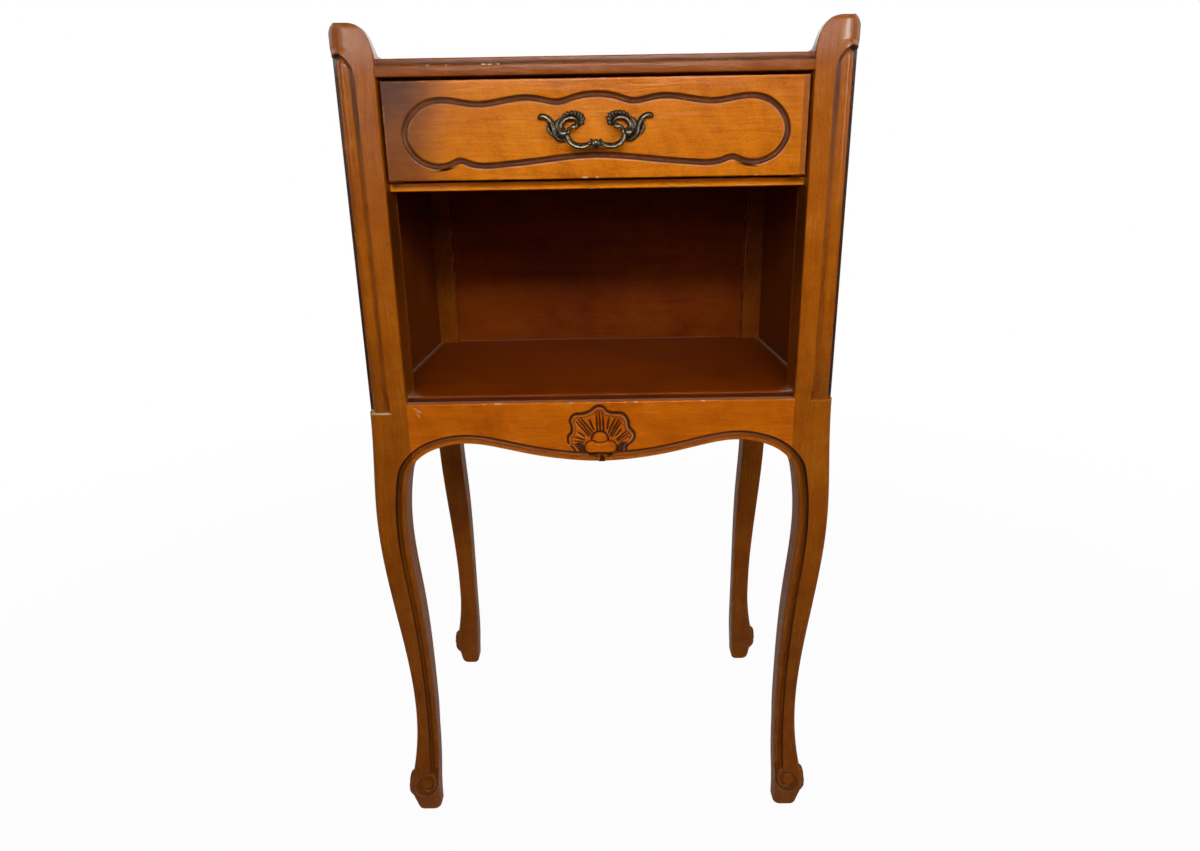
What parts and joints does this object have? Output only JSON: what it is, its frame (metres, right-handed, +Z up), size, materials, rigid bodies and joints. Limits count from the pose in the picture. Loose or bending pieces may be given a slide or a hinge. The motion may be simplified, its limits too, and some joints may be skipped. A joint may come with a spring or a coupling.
{
  "type": "nightstand",
  "caption": "Bedside cabinet in stained wood with curved legs, raised ears, a sliding drawer with a swinging brass pull, an open niche and a shaped apron with a carved shell.",
  "frame": {"origin": "on the floor, in the middle of the piece's box", "axes": "+X to the right as seen from the front, +Y to the back, +Z up; the drawer opens along -Y"},
  "size_m": [0.4052, 0.3038, 0.731],
  "materials": {
    "stained_wood": "stained fruitwood under worn satin varnish, darker in the grooves",
    "plain_wood": "planed, unfinished",
    "plywood": "sanded plywood",
    "brass": "antique brass, dark patina with rubbed high spots",
    "steel": "dull zinc"
  },
  "bodies": {
    "carcass": {"back_bottom_rail": "plain_wood", "back_leg_left": "stained_wood", "back_leg_right": "stained_wood", "back_panel": "stained_wood", "back_top_rail": "stained_wood", "drawer_guide_left": "plain_wood", "drawer_guide_right": "plain_wood", "drawer_rail": "stained_wood", "drawer_stops": "plain_wood", "dust_panel": "plywood", "front_apron": "stained_wood", "front_leg_left": "stained_wood", "front_leg_right": "stained_wood", "glue_blocks": "plain_wood", "shelf": "stained_wood", "shelf_cleat_left": "plain_wood", "shelf_cleat_right": "plain_wood", "shelf_cleat_screws": "steel", "side_panel_left": "stained_wood", "side_panel_right": "stained_wood", "top_board": "stained_wood", "top_cleat_left": "plain_wood", "top_cleat_right": "plain_wood", "top_cleat_screws": "steel", "top_lipping": "stained_wood"},
    "drawer": {"drawer_front": "stained_wood", "drawer_side_left": "plain_wood", "drawer_side_right": "plain_wood", "drawer_back": "plain_wood", "drawer_bottom": "plywood", "drawer_bottom_screws": "steel", "pull_plate_left": "brass", "pull_plate_right": "brass", "pull_studs": "steel", "pull_washers": "steel", "pull_nuts": "steel"},
    "bail": {"pull_bail": "brass"}
  },
  "joints": [
    {"name": "drawer_slide", "type": "slide", "parent": "carcass", "child": "drawer", "axis": [0, -1, 0], "range_m": [0, 0.19]},
    {"name": "bail_swing", "type": "hinge", "parent": "drawer", "child": "bail", "pos_m": [0, -0.1487, 0.6517], "axis": [-1, 0, 0], "range_deg": [0, 100]}
  ]
}
